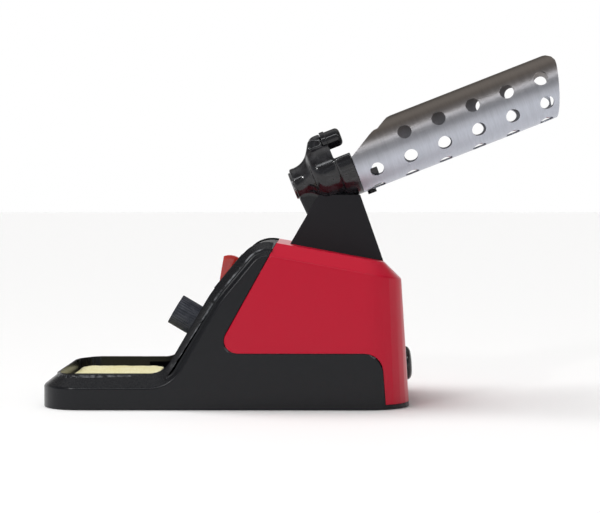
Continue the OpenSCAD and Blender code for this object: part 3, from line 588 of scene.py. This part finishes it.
for part_name in ("pot_shaft", "pot_washer", "pot_nut"):
    finish_node(part_name, nickel)
finish_node("pot_body", drawn("pot_shell", (0.4, 0.39, 0.36), (0.58, 0.57, 0.53), smooth=0.25, dull=0.4,
                              stretch=(1, 1, 1), fine=800.0))

# ---------------------------------------------------------------- power switch
# A rocker switch snapped in the panel: a glossy black frame, and a rocker of glossy red plastic that
# tilts on a steel pin. Each end of the rocker has three grip grooves, and each half carries a mark.
tilt = next(j for j in frame["joints"] if j["name"] == "rocker_tilt")
bezel_black = moulded("bezel_black", (0.009, 0.009, 0.01), smooth=0.12, dull=0.2, size=2000.0,
                      depth=0.004, dust=0.05, wear_and_highlight_amount=0.2)
bezel = softened("switch_frame", "switch_bezel", width=0.35, segments=3)
joined(bezel, "station", "bezel_black", bezel_black, "switch_frame")
finish_node("rocker_pin", nickel)
finish_node("switch_terminals", brass)

panel_slope, rest_tilt = math.radians(50.23), math.radians(30)
pressed = panel_slope + rest_tilt
rocker_place = standing(Vector(tilt["pos_m"]), Vector((math.cos(pressed), 0, math.sin(pressed))),
                        Vector((-math.sin(pressed), 0, math.cos(pressed))))
rocker_radius, rocker_top, rocker_foot, rocker_width = 11.2 * MM, 5.65 * MM, -4.5 * MM, 15.0 * MM
groove_pitch, groove_start, groove_half, groove_depth = 1.1, 0.3, 0.28, 0.25
grooves = range(1, 4)
clear_selection()
bpy.ops.mesh.primitive_cylinder_add(vertices=128, radius=rocker_radius, depth=rocker_width,
                                    rotation=(math.pi / 2, 0, 0))
rocker = named("red_rocker")
bpy.ops.object.transform_apply(rotation=True)
edit(rocker, (bpy.ops.mesh.bisect, {"plane_co": (0, 0, rocker_top), "plane_no": (0, 0, 1),
                                    "clear_outer": True, "use_fill": True}))
edit(rocker, (bpy.ops.mesh.bisect, {"plane_co": (0, 0, rocker_foot), "plane_no": (0, 0, -1),
                                    "clear_outer": True, "use_fill": True}))
reach = math.sqrt(rocker_radius ** 2 - rocker_top ** 2)
for k in grooves:
    for way in (-1, 1):
        for edge_of_groove in (-groove_half, groove_half):
            at = way * (reach - (groove_pitch * k + edge_of_groove + groove_start) * MM)
            edit(rocker, (bpy.ops.mesh.bisect, {"plane_co": (at, 0, 0), "plane_no": (1, 0, 0)}))


def in_groove(face):
    if face.normal.z < 0.9:
        return False
    from_end = (reach - abs(face.center.x)) / MM
    return any(abs(from_end - groove_pitch * k - groove_start) < 0.2 for k in grooves)


pick(rocker, in_groove)
bpy.ops.mesh.inset(thickness=0.05 * MM)
bpy.ops.transform.translate(value=(0, 0, -groove_depth * MM))
leave(rocker, width=0.45, segments=4, angle=50, smooth=40)
put(rocker, rocker_place)
rocker_red, tree, shader = new_finish("rocker_red", coat_weight=0.8, transmission_weight=0.05, ior=1.49,
                                      specular_ior_level=0.5)
swirl = noise(tree, place_on_part(tree), 160.0, 2.0)
tree.links.new(ramp(tree, swirl, [(0.3, (0.62, 0.004, 0.002)), (0.7, (0.74, 0.02, 0.004))]),
               shader.inputs["Base Color"])
tree.links.new(maths(tree, "ADD", maths(tree, "MULTIPLY", swirl, 0.1), 0.08), shader.inputs["Roughness"])
joined(rocker, "switch_rocker", "rocker_red", rocker_red, "rocker")

mark_reach, bar_long, bar_wide, bar_high, bar_sunk = 4.2 * MM, 3.6 * MM, 0.7 * MM, 0.24 * MM, 0.06 * MM
circle_radius, circle_line, circle_sunk = 1.5 * MM, 0.32 * MM, 0.1 * MM
clear_selection()
bpy.ops.mesh.primitive_cube_add(size=1, scale=(bar_long, bar_wide, bar_high),
                                location=(mark_reach, 0, rocker_top - bar_sunk))
bar = named("rocker_bar")
bpy.ops.object.transform_apply(location=True, scale=True)
pick(bar, lambda face: face.normal.z > 0.9)
leave(bar, width=0.08, segments=2)
clear_selection()
bpy.ops.mesh.primitive_torus_add(major_radius=circle_radius, minor_radius=circle_line, major_segments=40,
                                 minor_segments=10, location=(-mark_reach, 0, rocker_top - circle_sunk))
circle = named("rocker_circle")
bpy.ops.object.transform_apply(location=True)
pick(circle, lambda face: True)
leave(circle, width=0)
for mark in (bar, circle):
    put(mark, rocker_place)
    joined(mark, "switch_rocker", "mark_white", mark_white)

# ---------------------------------------------------------------- rear cover
# The red shell over the rear: the same moulding work in crimson, screwed up from the bottom plate.
# The light pink edge colour falls mostly on the rounded crease: partly rubbing, partly a painted highlight line.
cover_red = moulded("cover_red", (0.56, 0.0004, 0.025), smooth=0.26, dull=0.32, size=4000.0,
                    depth=0.006, dust=0.0, wear_and_highlight_colour=(0.85, 0.25, 0.3), wear_and_highlight_amount=0.5, specular_ior_level=0.3)
cover = softened("rear_cover", "red_cover", width=0, crease=1.0)
joined(cover, "station", "cover_red", cover_red, "rear_cover")

# ---------------------------------------------------------------- rear connectors
# A domed bush of glossy black plastic that the mains lead enters by, and beside it the round nickel
# socket for the iron's lead, with five gilt pins. Each is held by a hexagonal nut inside.
gland_black = moulded("gland_black", (0.012, 0.012, 0.013), smooth=0.15, dull=0.24, size=2600.0,
                      depth=0.006, dust=0.05, wear_and_highlight_amount=0.3)
bush = softened("power_gland", "lead_bush", width=0.3, segments=3)
joined(bush, "station", "gland_black", gland_black, "power_gland")
finish_node("gland_nut", gland_black)
socket = softened("iron_socket", "lead_socket", width=0.2, segments=2)
joined(socket, "station", "nickel", nickel, "iron_socket")
finish_node("socket_insert", bezel_black)
finish_node("socket_pins", brass)
finish_node("socket_nut", nickel)

# ---------------------------------------------------------------- pedestal
# A tapered hollow foot of matt black plastic, screwed down through the top of the cover.
pedestal_black = moulded("pedestal_black", (0.014, 0.014, 0.017), smooth=0.55, dull=0.65, size=2400.0,
                         depth=0.02, dust=0.02, wear_and_highlight_amount=0.2, specular_ior_level=0.2)
pedestal = softened("pedestal", "stand_pedestal", width=0.4, segments=3)
joined(pedestal, "station", "pedestal_black", pedestal_black, "pedestal")

# ---------------------------------------------------------------- iron holder
# The head is one glossy black moulding: a ring that the iron's barrel passes through, a round body, a
# sleeve that the guard butts against, and on top a tube for spare tips, closed by a push-on cap.
rest = next(m for m in frame["record"]["mounts"] if m["name"] == "iron_rest")
along_guard = -Vector(rest["axis"])
above_guard = Vector((-along_guard.z, 0, along_guard.x))
rest_depth = 11.7 * MM
guard_place = standing(Vector(rest["pos_m"]) + rest_depth * along_guard, along_guard, above_guard)

head_black = moulded("head_black", (0.008, 0.008, 0.01), smooth=0.1, dull=0.16, size=3000.0,
                     depth=0.003, dust=0.02, wear_and_highlight_amount=0.15, specular_ior_level=0.5)
head = bpy.data.objects.new("holder_body", frame["nodes"]["holder_head"].data.copy())
bpy.context.scene.collection.objects.link(head)
edit(head, (bpy.ops.mesh.remove_doubles, {"threshold": 1e-6}))
apply(head, "even_skin", "REMESH", mode="VOXEL", voxel_size=0.45 * MM)


def blend_zone(piece, name, place, weight_of):
    """A vertex group whose weight is worked out in the part's own frame, in millimetres."""
    back = place.inverted()
    zone = piece.vertex_groups.new(name=name)
    for vertex in piece.data.vertices:
        weight = weight_of((back @ vertex.co) / MM)
        if weight > 0:
            zone.add([vertex.index], weight, "REPLACE")


def neck_weight(p):
    """Full where the tube on top grows out of the body."""
    return 1.0 if -8 < p.x < 17 and 8 < p.z < 23 and abs(p.y) < 16 else 0.0


def body_weight(p):
    """Full on the round body, slight on the ring and on the sleeve."""
    return 1.0 if -11.5 < p.x < 20.5 else 0.2


blend_zone(head, "neck", guard_place, neck_weight)
blend_zone(head, "body", guard_place, body_weight)
apply(head, "neck_fillet", "SMOOTH", factor=0.7, iterations=50, vertex_group="neck")
apply(head, "polish", "SMOOTH", factor=0.5, iterations=26, vertex_group="body")
mark_edges(head)
choose(head)
bpy.ops.object.shade_smooth()
joined(head, "station", "head_black", head_black, "holder_head")

cap = softened("barrel_cap", "tip_cap", width=0.35, segments=3)
joined(cap, "tip_store_cap", "head_black", head_black, "barrel_cap")
ring_steel = drawn("ring_steel", (0.1, 0.1, 0.105), (0.3, 0.3, 0.31), smooth=0.2, dull=0.35,
                   stretch=(1, 1, 1), fine=1500.0)
ring = softened("front_ring", "ring_plate", width=0.2, segments=2)
joined(ring, "station", "screw_black", ring_steel, "front_ring")

# ---------------------------------------------------------------- guard
# A sheet of brushed stainless steel, punched in rows and rolled into an open tube. Its upper part is painted
# darker and browner, a painted reflection of the dim room above. A blackened screw holds it to the spigot of the
# head from below.
guard_steel, tree, shader = new_finish("guard_steel", 1.0)
level = node(tree, "ShaderNodeMapping", {
    "Vector": place_on_part(tree), "Location": tuple(guard_place.translation),
    "Rotation": tuple(guard_place.to_euler())}, vector_type="TEXTURE").outputs[0]
across = node(tree, "ShaderNodeMapping", {"Vector": level, "Scale": (1.0, 0.06, 0.06)}).outputs[0]
brush = node(tree, "ShaderNodeGroup", {"Vector": across, "Fine": 2200.0, "Smooth": 0.26, "Dull": 0.46},
             node_tree=streaks)
# Painted reflection: the colour runs from bluish silver low on the guard to dark brown at the top, standing in for
# the dim room reflected above.
height = node(tree, "ShaderNodeSeparateXYZ", {0: level}).outputs["Z"]
painted_reflection_height = node(tree, "ShaderNodeMapRange", {"Value": height, "From Min": -7.0 * MM, "From Max": 13.0 * MM})
painted_reflection_colour = blend_colour(tree, painted_reflection_height.outputs[0], (0.5, 0.52, 0.58, 1), (0.2, 0.175, 0.155, 1))
toned = blend_colour(tree, brush.outputs["Tone"], (0.75, 0.75, 0.75, 1), (1.15, 1.15, 1.15, 1))
steel_colour = node(tree, "ShaderNodeMix", {0: 1.0, 6: painted_reflection_colour, 7: toned}, data_type="RGBA",
                    blend_type="MULTIPLY").outputs[2]
tree.links.new(steel_colour, shader.inputs["Base Color"])
tree.links.new(brush.outputs["Roughness"], shader.inputs["Roughness"])
tree.links.new(node(tree, "ShaderNodeBump", {"Strength": 0.35, "Distance": 0.012 * MM,
                                             "Height": brush.outputs["Height"]}).outputs[0],
               shader.inputs["Normal"])
guard = softened("guard_tube", "steel_guard", width=0.15, segments=2, angle=40)
joined(guard, "station", "guard_steel", guard_steel, "guard_tube")
finish_node("guard_screw", drawn("blackened_steel", (0.012, 0.012, 0.013), (0.03, 0.03, 0.032),
                                 smooth=0.3, dull=0.5, stretch=(1, 1, 1), fine=900.0, metallic=0.6))

# ---------------------------------------------------------------- sponge
# A damp cellulose sponge cut to fit the tray: round corners, a softly crowned top and open pores of all
# sizes. It lies loose.
sponge_low, sponge_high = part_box("sponge")
sponge_size = sponge_high - sponge_low
centre = (sponge_low + sponge_high) / 2
sponge_corner, sponge_crown = 11.5 * MM, 0.5 * MM
room_to_swell = Vector((0.8, 0.8, 0.6)) * MM
clear_selection()
bpy.ops.mesh.primitive_cube_add(size=1, scale=sponge_size - room_to_swell, location=centre)
sponge = named("wiping_pad")
bpy.ops.object.transform_apply(location=True, scale=True)
choose(sponge)
bpy.ops.object.mode_set(mode="EDIT")
bpy.ops.mesh.select_mode(type="EDGE")
bpy.ops.mesh.select_all(action="DESELECT")
bpy.ops.object.mode_set(mode="OBJECT")
corners = sponge.data.vertices
for line in sponge.data.edges:
    a, b = (corners[i].co for i in line.vertices)
    line.select = abs(a.z - b.z) > 1 * MM
bpy.ops.object.mode_set(mode="EDIT")
bpy.ops.mesh.bevel(offset=sponge_corner, segments=10)
leave(sponge, width=1.2, segments=3, angle=60)
apply(sponge, "even_skin", "REMESH", mode="VOXEL", voxel_size=0.7 * MM)
for vertex in sponge.data.vertices:
    u = 2 * (vertex.co.x - centre.x) / sponge_size.x
    v = 2 * (vertex.co.y - centre.y) / sponge_size.y
    if vertex.co.z > centre.z:
        vertex.co.z += sponge_crown * (1 - u * u) * (1 - v * v)
for texture_kind, size, depth in (("STUCCI", 3.2, 0.5), ("CLOUDS", 1.2, 0.45)):
    pores = bpy.data.textures.new("pores_" + texture_kind.lower(), texture_kind)
    pores.noise_scale = size * MM
    apply(sponge, "pores", "DISPLACE", texture=pores, texture_coords="LOCAL", strength=depth * MM,
          mid_level=1.0)
mark_edges(sponge)
choose(sponge)
bpy.ops.object.shade_smooth()
sponge_yellow, tree, shader = new_finish("sponge_yellow", sheen_weight=0.2)
cells = node(tree, "ShaderNodeTexVoronoi", {"Vector": place_on_part(tree), "Scale": 900.0})
holes = node(tree, "ShaderNodeMapRange",
             {"Value": cells.outputs["Distance"], "From Min": 0.15, "From Max": 0.5})
blotch = noise(tree, place_on_part(tree), 90.0, 3.0)
pale = ramp(tree, blotch, [(0.3, (0.86, 0.8, 0.42)), (0.7, (0.93, 0.89, 0.6))])
# The pores are coloured darker where the bump sinks them: painted shade inside the holes.
painted_pore_shade = blend_colour(tree, holes.outputs[0], (0.7, 0.6, 0.25, 1), pale)
tree.links.new(painted_pore_shade, shader.inputs["Base Color"])
tree.links.new(maths(tree, "ADD", maths(tree, "MULTIPLY", blotch, 0.2), 0.7), shader.inputs["Roughness"])
tree.links.new(node(tree, "ShaderNodeBump", {"Strength": 0.6, "Distance": 0.15 * MM,
                                             "Height": holes.outputs[0]}).outputs[0], shader.inputs["Normal"])
joined(sponge, "wiping_sponge", "sponge_yellow", sponge_yellow, "sponge")
